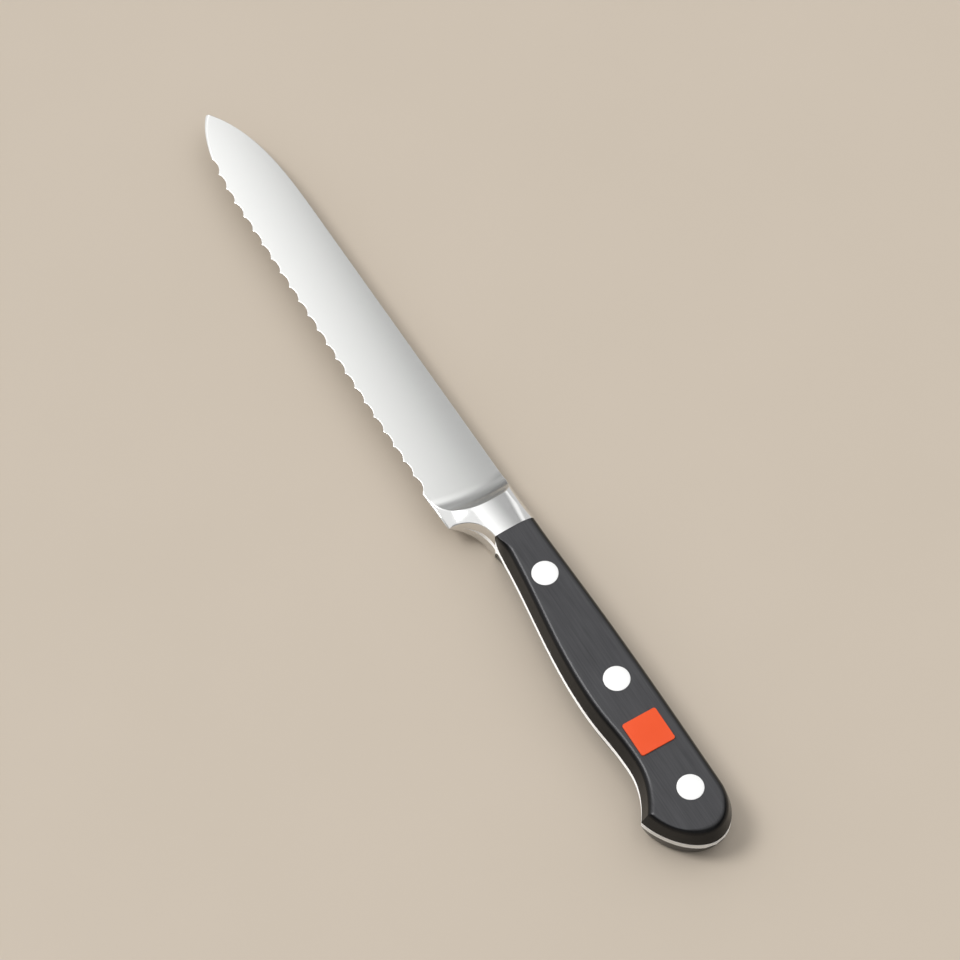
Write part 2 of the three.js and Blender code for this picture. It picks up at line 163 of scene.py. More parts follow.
BUTT_LEAN = 1.6
BUTT_ROUND = 1.6
JUNCTION_LEAN_SHARE = 0.2
BEAK_LEAN_SHARE = 0.55
LEAST_LEAN_SHARE = 0.05  # keeps the fillet's sides from growing endlessly steep
FILLET_END = 0.02  # height under which the fillet at the tang's root counts as ended
FRONT_DROP = 0.1  # the scales are worn down a little behind the bolster
FRONT_DROP_LENGTH = 2.4
SEAT_GAP = 0.05
FIT_GAP = 0.05

# Rivets and badge
RIVET_HEAD_DEPTH = 2
SLEEVE_DIAMETER = 5
SLEEVE_CROWN = 1.5
PIN_DIAMETER = 3
RIVET_END_GAP = 0.2
RIVET_EASE = 0.06
RIVET_DOME = 0.01
BADGE_CORNER = 0.6
BADGE_EASE = 0.07

# Fineness of the meshes: steps are numbers of points, stations and spacings are millimetres
LINE_STEPS = 200
ARC_STEPS = 13
ARC_RUN_ON_STEPS = 60
TIP_STATIONS = (0, 0.06, 0.14, 0.22)
PLAIN_TIP_STEPS = 44
SCALLOP_STEPS = 12
HOLLOW_REACH = 1.35  # the close stations start this many sweeps of the hollow before the heel
BEFORE_HOLLOW_STEPS = 12
HOLLOW_SPACING = 0.1
GUARD_STEPS = 90
GUARD_GATHERING = 1.3  # power that draws the bolster's stations towards the heel
ROOT_STEPS = 20
TANG_STEPS = 90
BUTT_STEPS = 40
ROWS = 72
ROW_GATHERING = 0.85  # how much the rows gather towards the edge and the spine
PROFILE_STEPS = 400
RING_STEPS = 40
NECK_COARSENESS = 3  # the short neck has this many times fewer points than the long stretches
RING_FRONT_STEPS = 16
SIDE_STEPS = 5
ROUNDING_STEPS = 15
LEVEL_SPACING = 0.008  # levels of a scale's side closer than this count as one
FRONT_STATIONS = (0.25, 0.5, 0.8, 1.1, 1.5, 1.9, 2.4)
FRONT_COLUMNS = 2  # columns of the even fill that the stations stand in for
OUTER_SPACING = 1.6
INNER_SPACING = 4
RIM_CLEARANCE = 0.15  # share of the spacing that the fill keeps from a rim
CIRCLE_STEPS = 72
HEAD_EASE_STEPS = 6
HEAD_RINGS = (0.7, 0.45, 0.2, 0)
CORNER_STEPS = 9
BADGE_EASE_STEPS = 7
MERGE_DISTANCE = 0.002
LEAST_LENGTH = 0.001
SHARP_ANGLE = 35
SCALE_SHARP_ANGLE = 40
TINY = 1e-6

# Places that the frame gives
RIVETS = ("front", "middle", "rear")
left_low, left_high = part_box("left_scale")
right_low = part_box("right_scale")[0]
HALF = (left_high.z - right_low.z) / 2 / MM
BUTT_X = (cad_high.x - cad_low.x) / MM
JUNCTION_X = (left_low.x - cad_low.x) / MM - SEAT_GAP
ORIGIN = np.array(
    [cad_low.x, cad_low.y - BEAK_BOTTOM * MM, (left_high.z + right_low.z) / 2]
)
TANG_HALF = TANG_THICKNESS / 2
HEEL_DROP = EDGE_DROP - HEEL_LIFT
SCALLOP_END = PLAIN_TIP + SCALLOP_COUNT * SCALLOP_PITCH
GRIND_SLOPE = math.tan(math.radians(GRIND_ANGLE))


def box_middle(node):
    """Middle of a node's box, in the knife's own millimetres, and its size."""
    low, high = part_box(node)
    middle = ((np.array(low) + np.array(high)) / 2 - ORIGIN) / MM
    return middle, (np.array(high) - np.array(low)) / MM


def placed(points):
    """Points of the knife's own millimetres in the frame's metres."""
    return np.asarray(points, float) * MM + ORIGIN


# Curves


def bezier(points, count):
    """Points on the curve of two ends and the two handles between them."""
    t = np.linspace(0, 1, count)[:, None]
    a, b, c, d = (np.array(p, float) for p in points)
    return (1 - t) ** 3 * a + 3 * t * (1 - t) ** 2 * b + 3 * t**2 * (1 - t) * c + t**3 * d


def one_handled(start, handle, end, count):
    """Points on the curve of two ends and a single handle."""
    near = start + (handle - start) * 2 / 3
    far = end + (handle - end) * 2 / 3
    return bezier([start, near, far, end], count)


def joined(*stretches):
    """One line of points through several stretches that share their ends."""
    line = [np.asarray(stretches[0], float)]
    line += [np.asarray(stretch, float)[1:] for stretch in stretches[1:]]
    return np.concatenate(line)


def height_on(line, x):
    """Height of a line at places along the knife."""
    return np.interp(x, line[:, 0], line[:, 1])


def side_inset(z, lean, rounding):
    """How far a scale's side has leaned in at a height above the blade's middle plane."""
    up = np.clip((z - TANG_HALF) / (HALF - TANG_HALF), 0, 1)
    over = np.clip((z - (HALF - rounding)) / rounding, 0, 1)
    return lean * up + rounding * (1 - np.sqrt(1 - over**2))


def handle_lines(belly, butt, spine, count):
    """Belly and spine lines of the handle, drawn in from the tang by these amounts."""
    neck_x = JUNCTION_X + NECK_OFFSET
    waist_x = BUTT_X - WAIST_SETBACK
    swell_x = neck_x + SWELL_SHARE * (waist_x - neck_x)
    beak_x = BUTT_X - BEAK_SETBACK
    peak_x = BUTT_X - SPINE_PEAK_SETBACK
    start = BELLY_AT_JUNCTION + JUNCTION_LEAN_SHARE * belly
    neck = BELLY_AT_NECK + belly
    swell = BELLY_AT_SWELL + belly
    waist = BELLY_AT_WAIST + belly
    beak = BEAK_BOTTOM + belly
    nape = SPINE_RISE - spine
    top = SPINE_RISE + SPINE_ARCH - spine
    bend = NECK_EASE * NECK_OFFSET
    reach = SWELL_EASE * (swell_x - neck_x)
    lift = WAIST_EASE * (waist_x - swell_x)
    back = BEAK_LEAN_SHARE * belly
    rise = peak_x - JUNCTION_X
    corner = np.array([beak_x + back, beak])
    control = np.array([(waist_x + beak_x) / 2 + back, waist])
    end = np.array([waist_x, waist])
    belly_line = joined(
        bezier(
            [
                (JUNCTION_X, start),
                (JUNCTION_X + bend, start),
                (neck_x - bend, neck - bend * NECK_SLOPE),
                (neck_x, neck),
            ],
            count // NECK_COARSENESS,
        ),
        bezier(
            [
                (neck_x, neck),
                (neck_x + reach, neck + reach * NECK_SLOPE),
                (swell_x - reach, swell),
                (swell_x, swell),
            ],
            count,
        ),
        bezier([(swell_x, swell), (swell_x + lift, swell), (waist_x - lift, waist), end], count),
        one_handled(end, control, corner, count),
        bezier(
            [
                corner,
                corner + np.array(BEAK_NEAR) * BEAK_SETBACK,
                (BUTT_X - butt, BUTT_MIDDLE - BEAK_FAR * BEAK_SETBACK),
                (BUTT_X - butt, BUTT_MIDDLE),
            ],
            count,
        ),
    )
    turn = np.linspace(math.pi / 2, 0, count)
    width = BUTT_ROUNDING - butt
    spine_line = joined(
        bezier(
            [
                (JUNCTION_X, nape),
                (JUNCTION_X + NAPE_EASE * rise, nape),
                (peak_x - PEAK_EASE * rise, top),
                (peak_x, top),
            ],
            count,
        ),
        np.stack(
            [
                BUTT_X - BUTT_ROUNDING + width * np.cos(turn),
                BUTT_MIDDLE + (top - BUTT_MIDDLE) * np.sin(turn),
            ],
            1,
        ),
    )
    return belly_line, spine_line


def edge_before_grinding():
    """The edge of the blank, into which the scallops are ground."""
    drop = EDGE_DROP - EDGE_FALL
    sweep = bezier(
        [
            (0, 0),
            (EDGE_NEAR[0] * EDGE_CURVE_LENGTH, -EDGE_NEAR[1] * drop),
            (EDGE_FAR[0] * EDGE_CURVE_LENGTH, -EDGE_FAR[1] * drop),
            (EDGE_CURVE_LENGTH, -drop),
        ],
        LINE_STEPS,
    )
    return joined(sweep, [sweep[-1], (SCALLOP_END, -EDGE_DROP), (BLADE_LENGTH, -HEEL_DROP)])


def point_line(x):
    """Height of the line on which the points between the scallops lie."""
    run = np.clip((x - EDGE_CURVE_LENGTH) / (SCALLOP_END - EDGE_CURVE_LENGTH), 0, 1)
    bow = POINT_BOW * run**2 * (1 - run) * BOW_SCALE
    straight = -(EDGE_DROP - EDGE_FALL) - run * (EDGE_FALL - POINT_LIFT) - bow
    return np.where(x > EDGE_CURVE_LENGTH, straight, height_on(edge_before_grinding(), x))


def scalloped_edge():
    """The edge after grinding, with the points between the scallops on its line."""
    blank = edge_before_grinding()
    line = [blank[blank[:, 0] < PLAIN_TIP]]
    for number in range(SCALLOP_COUNT):
        ends = PLAIN_TIP + SCALLOP_PITCH * np.array([number, number + 1.0])
        first, second = np.stack([ends, point_line(ends)], 1)
        width = np.linalg.norm(second - first)
        along = (second - first) / width
        up = np.array([-along[1], along[0]])
        radius = (width**2 / 4 + SCALLOP_DEPTH**2) / (2 * SCALLOP_DEPTH)
        u = np.linspace(-width / 2, width / 2, ARC_STEPS)
        if number == SCALLOP_COUNT - 1:
            u = np.append(u, width / 2 + np.linspace(0, ARC_RUN_ON, ARC_RUN_ON_STEPS)[1:])
        u = u[:, None]
        sag = radius - np.sqrt(radius**2 - u**2)
        arc = (first + second) / 2 + along * u + up * (SCALLOP_DEPTH - sag)
        arc = arc[arc[:, 1] > height_on(blank, arc[:, 0]) - TINY]
        line.append(arc[1:] if number else arc)
    line.append(blank[blank[:, 0] > line[-1][-1, 0]])
    return np.concatenate(line)


def guard_line():
    """The bolster's finger side, from the heel to the handle."""
    rise = BELLY_AT_JUNCTION + HEEL_DROP
    length = JUNCTION_X - BLADE_LENGTH
    return bezier(
        [
            (BLADE_LENGTH, -HEEL_DROP),
            (BLADE_LENGTH + GUARD_NEAR[0] * length, GUARD_NEAR[1] * rise - HEEL_DROP),
            (BLADE_LENGTH + GUARD_FAR * length, BELLY_AT_JUNCTION),
            (JUNCTION_X, BELLY_AT_JUNCTION),
        ],
        LINE_STEPS,
    )


def blade_spine():
    """The spine from the tip to the handle."""
    rise = SPINE_RISE - SPINE_FALL
    nose = (TIP_NOSE / 2, TIP_NOSE)
    sweep = bezier(
        [
            nose,
            (SPINE_NEAR[0] * SPINE_CURVE_LENGTH, SPINE_NEAR[1] * rise),
            (SPINE_FAR[0] * SPINE_CURVE_LENGTH, SPINE_FAR[1] * rise),
            (SPINE_CURVE_LENGTH, rise),
        ],
        LINE_STEPS,
    )
    return joined([(0, 0), nose], sweep, [sweep[-1], (JUNCTION_X, SPINE_RISE)])


# Meshes


def mesh_object(name, points, faces, materials, face_slots=None, sharp=SHARP_ANGLE):
    """A smooth-shaded mesh object with its doubled points merged."""
    mesh = bpy.data.meshes.new(name)
    mesh.from_pydata([tuple(p) for p in points], [], [tuple(int(i) for i in f) for f in faces])
    for material in materials:
        mesh.materials.append(material)
    if face_slots is not None:
        mesh.polygons.foreach_set("material_index", np.asarray(face_slots, np.int32))
    bm = bmesh.new()
    bm.from_mesh(mesh)
    bmesh.ops.remove_doubles(bm, verts=bm.verts, dist=MERGE_DISTANCE * MM)
    bmesh.ops.dissolve_degenerate(bm, edges=bm.edges, dist=LEAST_LENGTH * MM)
    bmesh.ops.recalc_face_normals(bm, faces=bm.faces)
    bm.to_mesh(mesh)
    bm.free()
    mesh.polygons.foreach_set("use_smooth", np.ones(len(mesh.polygons), bool))
    mesh.set_sharp_from_angle(angle=math.radians(sharp))
    piece = bpy.data.objects.new(name, mesh)
    bpy.context.scene.collection.objects.link(piece)
    return piece


def dressed(piece, slot, *nodes):
    """Lets a piece stand for CAD nodes and ride with the knife."""
    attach(piece, "root")
    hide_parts(*nodes)


def quads(block):
    """Faces over a grid of point numbers."""
    corners = [block[:-1, :-1], block[1:, :-1], block[1:, 1:], block[:-1, 1:]]
    return np.stack(corners, -1).reshape(-1, 4)


def band(count):
    """Faces between a closed ring of points and the next ring."""
    a = np.arange(count)
    b = np.roll(a, -1)
    return np.stack([a, b, b + count, a + count], 1)


def lifted(loop, z):
    """A flat loop of points at a height."""
    return np.column_stack([loop, np.full(len(loop), z)])


def eased(depth, distance, radius):
    """A height lowered so that it rounds off towards a boundary at distance 0."""
    near = np.clip(1 - distance / np.maximum(radius, TINY), 0, 1)
    return depth - radius * (1 - np.sqrt(1 - near**2))


def soft_min(a, b, blend):
    """The lower of two heights, rounded over where they cross."""
    share = np.clip(0.5 + 0.5 * (b - a) / blend, 0, 1)
    return b + (a - b) * share - blend * share * (1 - share)


def soft_rise(value, width):
    """Zero below 0 and the value itself above, turning over a width round 0."""
    run = np.clip(value / width + 0.5, 0, 1)
    return np.where(value > width / 2, value, width / 2 * run**2)


def eased_step(value):
    """Rises softly from 0 to 1 with a value from 0 to 1."""
    run = np.clip(value, 0, 1)
    return run**2 * (3 - 2 * run)


# Forging

BLADE_SLOT, BOLSTER_SLOT, TANG_SLOT = range(3)


def blade_plane(x, y):
    """Half thickness of the blade before its faces are ground convex."""
    across = (SPINE_THICKNESS - EDGE_THICKNESS) / (SPINE_RISE + HEEL_DROP)
    along = TIP_TAPER / BLADE_LENGTH
    return (SPINE_THICKNESS + across * (y - SPINE_RISE) + along * (x - BLADE_LENGTH)) / 2


def crown_fall(x, y):
    """How far the bolster's face has fallen away towards the edge side."""
    flare = FLARE_DROP * eased_step((x - BLADE_LENGTH + FLARE_LEAD) / FLARE_GROWTH)
    crown = CROWN * np.maximum(0, CROWN_EDGE - y) ** 2
    return crown + flare * eased_step((FLARE_TOP - y) / FLARE_SPAN)


def bolster_face(x, y):
    """The bolster's face: rounded to the spine, falling away to the heel and its facet."""
    back = JUNCTION_X - x
    flat = HALF - BOLSTER_SLOPE * back
    z = np.linspace(TANG_HALF, HALF, PROFILE_STEPS)
    level = np.interp(SPINE_RISE - y, side_inset(z, SPINE_LEAN, SPINE_ROUND), z)
    squeeze = np.maximum(0, (flat - TANG_HALF) / (HALF - TANG_HALF))
    past = y - RIDGE_AT_JUNCTION - RIDGE_DRIFT * back
    chamfer = HALF - RIDGE_SLOPE * soft_rise(past, RIDGE_ROUNDING)
    spine_side = TANG_HALF + (np.minimum(level, chamfer) - TANG_HALF) * squeeze
    face = spine_side - crown_fall(x, y)
    slope = np.maximum(0, HEEL_FACET_SLOPE + HEEL_FACET_TWIST * (x - BLADE_LENGTH))
    rise = np.maximum(0, y + HEEL_DROP)
    facet = np.minimum(EDGE_THICKNESS / 2, EDGE_LAND + EDGE_BEVEL * rise) + slope * rise
    return soft_min(face, facet, FACET_ROUNDING * np.clip(rise, FACET_LEAST, 1))


def hollow_front(x, y):
    """The hollow that sweeps up from the blade to the bolster."""
    reach = np.hypot(x - (BLADE_LENGTH - DISH_RADIUS), y - SPINE_RISE / 2)
    share = np.maximum(0, (reach - DISH_RADIUS + DISH_SWEEP) / DISH_SWEEP)
    return blade_plane(x, y) + DISH_RISE * share**DISH_BEND


def forging_columns(edge):
    """Stations along the knife, closest together where its shape changes fastest."""
    tip = np.concatenate([TIP_STATIONS, np.linspace(TIP_NOSE / 2, PLAIN_TIP, PLAIN_TIP_STEPS)])
    numbers = np.arange(1, SCALLOP_STEPS * SCALLOP_COUNT + 1)
    scallops = PLAIN_TIP + numbers * SCALLOP_PITCH / SCALLOP_STEPS
    corner = edge[np.argmax(edge[:, 0] > SCALLOP_END), 0]
    hollow_start = BLADE_LENGTH - HOLLOW_REACH * DISH_SWEEP
    after = np.linspace(corner, hollow_start, BEFORE_HOLLOW_STEPS)
    hollow = np.arange(hollow_start, BLADE_LENGTH, HOLLOW_SPACING)
    gathered = np.linspace(0, 1, GUARD_STEPS) ** GUARD_GATHERING
    guard = BLADE_LENGTH + (JUNCTION_X - BLADE_LENGTH) * gathered
    root = JUNCTION_X + ROOT_RADIUS * (1 - np.cos(np.linspace(0, math.pi / 2, ROOT_STEPS)))
    middle = np.linspace(root[-1], BUTT_X - BEAK_SETBACK, TANG_STEPS)[1:]
    butt = BUTT_X - BEAK_SETBACK * np.cos(np.linspace(0, math.pi / 2, BUTT_STEPS))[1:]
    blade = np.unique(np.concatenate([tip, scallops, after, hollow, guard]).round(3))
    return blade, np.concatenate([root, middle, butt])


def forging_heights(x, y, low, high, low_slope, high_slope, mean_edge):
    """Left and right surface of blade and bolster at points of its flat, and where it is polished."""
    edge_gap = (y - low) / np.hypot(1, low_slope)
    spine_gap = (high - y) / np.hypot(1, high_slope)
    fullness = BLADE_BULGE + BULGE_GAIN * np.minimum(1, x / BLADE_LENGTH)
    bulge = fullness * np.maximum(0, y - mean_edge) * np.maximum(0, high - y)
    blade = blade_plane(x, y) + bulge
    ground = (x > PLAIN_TIP) & (x < SCALLOP_END + GRIND_RUN_ON)
    bevel = EDGE_LAND + EDGE_BEVEL * edge_gap
    rim = blade - np.maximum(0, POINT_EASE - EDGE_BEVEL * edge_gap)
    groove = blade - POINT_EASE - EDGE_LAND - GRIND_SLOPE * (y - low)
    blade = np.where(ground, rim, np.minimum(blade, bevel))
    face = bolster_face(x, y)
    front = hollow_front(x, y) + bulge
    near_bolster = x > BLADE_LENGTH - BOLSTER_REACH * DISH_SWEEP
    polished = near_bolster & (face < front) & (face > blade + EDGE_LAND)
    rise = front - blade_plane(x, y) - bulge
    crease = CREASE_ROUNDING * np.clip(rise / CREASE_GROWTH, CREASE_LEAST, 1)
    bolster = soft_min(face, front, crease)
    left = np.where(near_bolster, np.maximum(blade, bolster), blade)
    ease = GUARD_EASE * np.clip(1 - (BLADE_LENGTH - x) / (GUARD_EASE_REACH * DISH_SWEEP), 0, 1)
    left = eased(left, edge_gap, np.minimum(ease, EASE_LIMIT * left))
    left = np.maximum(eased(left, spine_gap, SPINE_EASE), EDGE_LAND)
    right = np.where(ground, np.maximum(-left, groove), -left)
    return left, right, polished


def tang_heights(x, y, low, high, lean):
    """Left surface of the tang, with the fillet at its root."""
    run = np.clip(1 - (x - JUNCTION_X) / ROOT_RADIUS, 0, 1)
    fillet = ROOT_RADIUS * (1 - np.sqrt(1 - run**2))
    height = HALF - TANG_HALF
    belly_side = (y - low) / np.maximum(lean, LEAST_LEAN_SHARE) * height / BELLY_LEAN
    spine_side = (high - y) * height / SPINE_LEAN
    raised = np.minimum(fillet, np.minimum(belly_side, spine_side))
    gap = np.minimum(y - low, high - y)
    return TANG_HALF + np.where(fillet > FILLET_END, raised, eased(0, gap, TANG_EASE))


def satin_strip_with_painted_highlight(lower_edges):
    """The edges of the tang's satin strip on the lower wall, which runs on under the bolster; its
    brightened steel is a painted highlight. Under the bolster it ends in a point.
    """
    strip = lower_edges.copy()
    past_heel = strip[0, :, 0] - BLADE_LENGTH
    grown = np.clip((past_heel - STRIP_START) / STRIP_GROWTH, 0, 1)
    reach = TANG_HALF * np.where(past_heel < 0, 1, grown)
    strip[:, :, 2] = np.clip(strip[:, :, 2], -reach, reach)
    return strip


def forging(materials):
    """Blade, bolster and tang as one mesh, from a grid on each side and the walls between them."""
    edge = scalloped_edge()
    low_blade = joined(edge, guard_line())
    belly, spine = handle_lines(0, 0, 0, LINE_STEPS)
    leaned = handle_lines(1, 0, 0, LINE_STEPS)[0]
    blade_x, tang_x = forging_columns(edge)
    t = np.linspace(0, 1, ROWS)
    share = t - ROW_GATHERING * np.sin(2 * math.pi * t) / (2 * math.pi)

    def grid(columns, low_line, high_line):
        low = height_on(low_line, columns)[:, None]
        high = height_on(high_line, columns)[:, None]
        return columns[:, None] + 0 * share, low, high, low + (high - low) * share

    x, low, high, y = grid(blade_x, low_blade, blade_spine())
    mean_edge = height_on(edge_before_grinding(), blade_x)[:, None]
    low_slope = np.gradient(low[:, 0], blade_x)[:, None]
    high_slope = np.gradient(high[:, 0], blade_x)[:, None]
    left, right, polished = forging_heights(x, y, low, high, low_slope, high_slope, mean_edge)
    tang_grid, tang_low, tang_high, tang_y = grid(tang_x, belly, spine)
    lean = (height_on(leaned, tang_x) - height_on(belly, tang_x))[:, None]
    tang = tang_heights(tang_grid, tang_y, tang_low, tang_high, lean)
    x = np.concatenate([x, tang_grid])
    y = np.concatenate([y, tang_y])
    left = np.concatenate([left, tang])
    right = np.concatenate([right, -tang])
    polished = np.concatenate([polished, np.zeros(tang.shape, bool)])
    columns = len(x)
    both = np.stack([np.stack([x, y, left], -1), np.stack([x, y, right], -1)])
    strip = satin_strip_with_painted_highlight(both[:, :, 0])
    points = placed(np.concatenate([both.reshape(-1, 3), strip.reshape(-1, 3)]))
    at = np.arange(2 * columns * ROWS).reshape(2, columns, ROWS)
    strip_at = at.size + np.arange(2 * columns).reshape(2, columns)
    lower_wall = np.stack([at[1, :, 0], strip_at[1], strip_at[0], at[0, :, 0]], 1)
    upper_wall = np.stack([at[0, :, -1], at[1, :, -1]], 1)
    butt_wall = np.stack([at[0, -1], at[1, -1]])
    tip_wall = np.stack([at[1, 0], at[0, 0]])
    blocks = [at[0], at[1][:, ::-1], lower_wall, upper_wall, butt_wall, tip_wall]
    faces = np.concatenate([quads(block) for block in blocks])

    # Satin on the blade and its hollow, polish on the bolster, lengthwise satin on the tang and on a
    # strip along the bolster's underside, whose raised tone is a painted highlight.
    def of_faces(values):
        of_points = np.concatenate([np.tile(values.ravel(), 2), np.tile(values[:, 0], 2)])
        return of_points[faces].mean(1)

    face_x = of_faces(x)
    under_bolster = (faces >= at.size).all(1) & (face_x > BLADE_LENGTH)
    on_tang = (face_x > JUNCTION_X + TINY) | under_bolster
    mostly_polished = of_faces(polished) > 0.5
    slots = np.where(on_tang, TANG_SLOT, np.where(mostly_polished, BOLSTER_SLOT, BLADE_SLOT))
    return mesh_object("forging", points, faces, materials, slots)


# Scales


def circle(x, y, radius):
    """Points of a circle on the flat."""
    turn = np.linspace(0, 2 * math.pi, CIRCLE_STEPS, endpoint=False)
    return np.stack([x + radius * np.cos(turn), y + radius * np.sin(turn)], 1)


def rounded_square(x, y, side, corner):
    """Points of a square with rounded corners on the flat."""
    turn = np.linspace(0, math.pi / 2, CORNER_STEPS)
    arc = corner * np.stack([np.cos(turn), np.sin(turn)], 1) + side / 2 - corner
    quarters = []
    for quarter in range(4):
        angle = quarter * math.pi / 2
        c, s = round(math.cos(angle)), round(math.sin(angle))
        quarters.append(arc @ np.array([[c, s], [-s, c]]) + (x, y))
    return np.concatenate(quarters)


def inside(points, loop):
    """Which points lie inside a closed loop."""
    x, y = points[:, 0][:, None], points[:, 1][:, None]
    a, b = loop, np.roll(loop, -1, 0)
    crossing = (a[:, 1] > y) != (b[:, 1] > y)
    rise = np.where(b[:, 1] == a[:, 1], TINY, b[:, 1] - a[:, 1])
    at = a[:, 0] + (y - a[:, 1]) * (b[:, 0] - a[:, 0]) / rise
    return (np.sum(crossing & (x < at), 1) % 2).astype(bool)


def sheet_with_holes(loop, holes, spacing):
    """Points on the flat and triangles that fill a loop around its holes."""
    low, high = loop.min(0), loop.max(0)
    along, across = (np.arange(low[i] + spacing / 2, high[i], spacing) for i in (0, 1))
    front = low[0] + np.array(FRONT_STATIONS)
    stretches = [np.meshgrid(x, across) for x in (front, along[FRONT_COLUMNS:])]
    fill = np.concatenate([np.stack(stretch, -1).reshape(-1, 2) for stretch in stretches])
    loops = [loop, *holes]
    clear = inside(fill, loop)
    for ring in loops:
        gap = np.linalg.norm(fill[:, None] - ring[None], axis=2).min(1)
        clear &= gap > RIM_CLEARANCE * spacing
    for hole in holes:
        clear &= ~inside(fill, hole)
    points = np.concatenate([*loops, fill[clear]])
    edges, start = [], 0
    for ring in loops:
        ids = np.arange(len(ring)) + start
        edges += [(int(a), int(b)) for a, b in zip(ids, np.roll(ids, -1))]
        start += len(ring)
    made = delaunay_2d_cdt([Vector(p) for p in points], edges, [], 0, 1e-7, False)
    points = np.array([tuple(v) for v in made[0]])
    faces = np.array(made[2])
    middle = points[faces].mean(1)
    kept = inside(middle, loop)
    for hole in holes:
        kept &= ~inside(middle, hole)
    return points, faces[kept]


def side_levels(start):
    """Heights of the rings on a scale's side, closest together over its roundings."""
    arc = np.sin(np.linspace(0, math.pi / 2, ROUNDING_STEPS))
    levels = [
        np.linspace(start, HALF - SPINE_ROUND, SIDE_STEPS),
        HALF - SPINE_ROUND + SPINE_ROUND * arc,
        HALF - BELLY_ROUND + BELLY_ROUND * arc[::2],
    ]
    levels = np.unique(np.concatenate(levels).round(3))
    return levels[np.append(True, np.diff(levels) > LEVEL_SPACING)]


def scale_ring(z):
    """Outline of a scale at a height above the blade's middle plane."""
    belly, spine = handle_lines(
        side_inset(z, BELLY_LEAN, BELLY_ROUND),
        side_inset(z, BUTT_LEAN, BUTT_ROUND),
        side_inset(z, SPINE_LEAN, SPINE_ROUND),
        RING_STEPS,
    )
    ring = np.concatenate([belly, spine[::-1][1:]])
    steps = np.linspace(0, 1, RING_FRONT_STEPS)[1:-1, None]
    ring = np.concatenate([ring, ring[-1] + steps * (ring[0] - ring[-1])])
    ring[:, 0] = np.maximum(ring[:, 0], JUNCTION_X + SEAT_GAP)
    return ring


def dropped(points):
    """A scale's points, with its outer surface lowered a little behind the bolster."""
    behind = points[:, 0] - JUNCTION_X
    run = np.clip(1 - behind / FRONT_DROP_LENGTH, 0, 1)
    up = np.clip((points[:, 2] - TANG_HALF) / (HALF - TANG_HALF), 0, 1)
    crown = crown_fall(points[:, 0], points[:, 1]) * eased_step(1 - behind / CROWN_FADE)
    points[:, 2] -= (FRONT_DROP * run**2 + crown) * up
    return points


def scale(name, side, badge_loop, material):
    """One scale: side is 1 for the left one and -1 for the right one."""
    inner = TANG_HALF + SEAT_GAP
    rings = [lifted(scale_ring(z), z) for z in side_levels(inner)]
    points = [np.concatenate(rings)]
    count = len(rings[0])
    bands = [band(count) + level * count for level in range(len(rings) - 1)]
    faces = [tuple(f) for f in np.concatenate(bands)]
    head = box_middle("front_rivet_sleeve")[1][0] / 2 + FIT_GAP
    hole = SLEEVE_DIAMETER / 2 + FIT_GAP
    seat = HALF - RIVET_HEAD_DEPTH

    def add(more_points, more_faces):
        start = sum(len(p) for p in points)
        points.append(np.asarray(more_points, float))
        faces.extend(tuple(int(i) + start for i in f) for f in more_faces)

    def wall(lower, upper):
        add(np.concatenate([lower, upper]), band(len(lower))[:, [1, 0, 3, 2]])

    places = [box_middle(place + "_rivet_sleeve")[0][:2] for place in RIVETS]
    heads = [circle(x, y, head) for x, y in places]
    bores = [circle(x, y, hole) for x, y in places]
    openings = heads + ([badge_loop] if badge_loop is not None else [])
    top, top_faces = sheet_with_holes(rings[-1][:, :2], openings, OUTER_SPACING)
    add(lifted(top, HALF), top_faces)
    bottom, bottom_faces = sheet_with_holes(rings[0][:, :2], bores, INNER_SPACING)
    add(lifted(bottom, inner), bottom_faces[:, ::-1])
    for outer, bore in zip(heads, bores):
        wall(lifted(outer, seat), lifted(outer, HALF))
        wall(lifted(bore, seat), lifted(outer, seat))
        wall(lifted(bore, inner), lifted(bore, seat))
    if badge_loop is not None:
        middle, size = box_middle("handle_badge")
        floor = middle[2] - size[2] / 2
        wall(lifted(badge_loop, floor), lifted(badge_loop, HALF))
        add(lifted(badge_loop, floor), [range(len(badge_loop))])
    points = dropped(np.concatenate(points))
    points[:, 2] *= side
    return mesh_object(name, placed(points), faces, [material], sharp=SCALE_SHARP_ANGLE)


# Rivets and badge


def turned(name, profile, x, y, side, material):
    """A round piece on a rivet's axis, from points of (radius, height)."""
    turn = np.linspace(0, 2 * math.pi, CIRCLE_STEPS, endpoint=False)
    radius, height = np.array(profile, float).T
    points = np.stack(
        [
            x + radius[:, None] * np.cos(turn),
            y + radius[:, None] * np.sin(turn),
            side * height[:, None] + 0 * turn,
        ],
        -1,
    ).reshape(-1, 3)
    faces = [band(CIRCLE_STEPS) + i * CIRCLE_STEPS for i in range(len(profile) - 1)]
    return mesh_object(name, placed(points), np.concatenate(faces), [material])


def head_profile(radius, top):
    """The head's face and rim: a flat ground nearly flush, with an eased corner."""
    across, up = radius - RIVET_EASE, top - RIVET_EASE
    turn = np.linspace(0, math.pi / 2, HEAD_EASE_STEPS)
    corner = [(across + RIVET_EASE * math.cos(a), up + RIVET_EASE * math.sin(a)) for a in turn]
    flat = [(radius * s, top + RIVET_DOME * (1 - s**2)) for s in HEAD_RINGS]
    return corner + flat


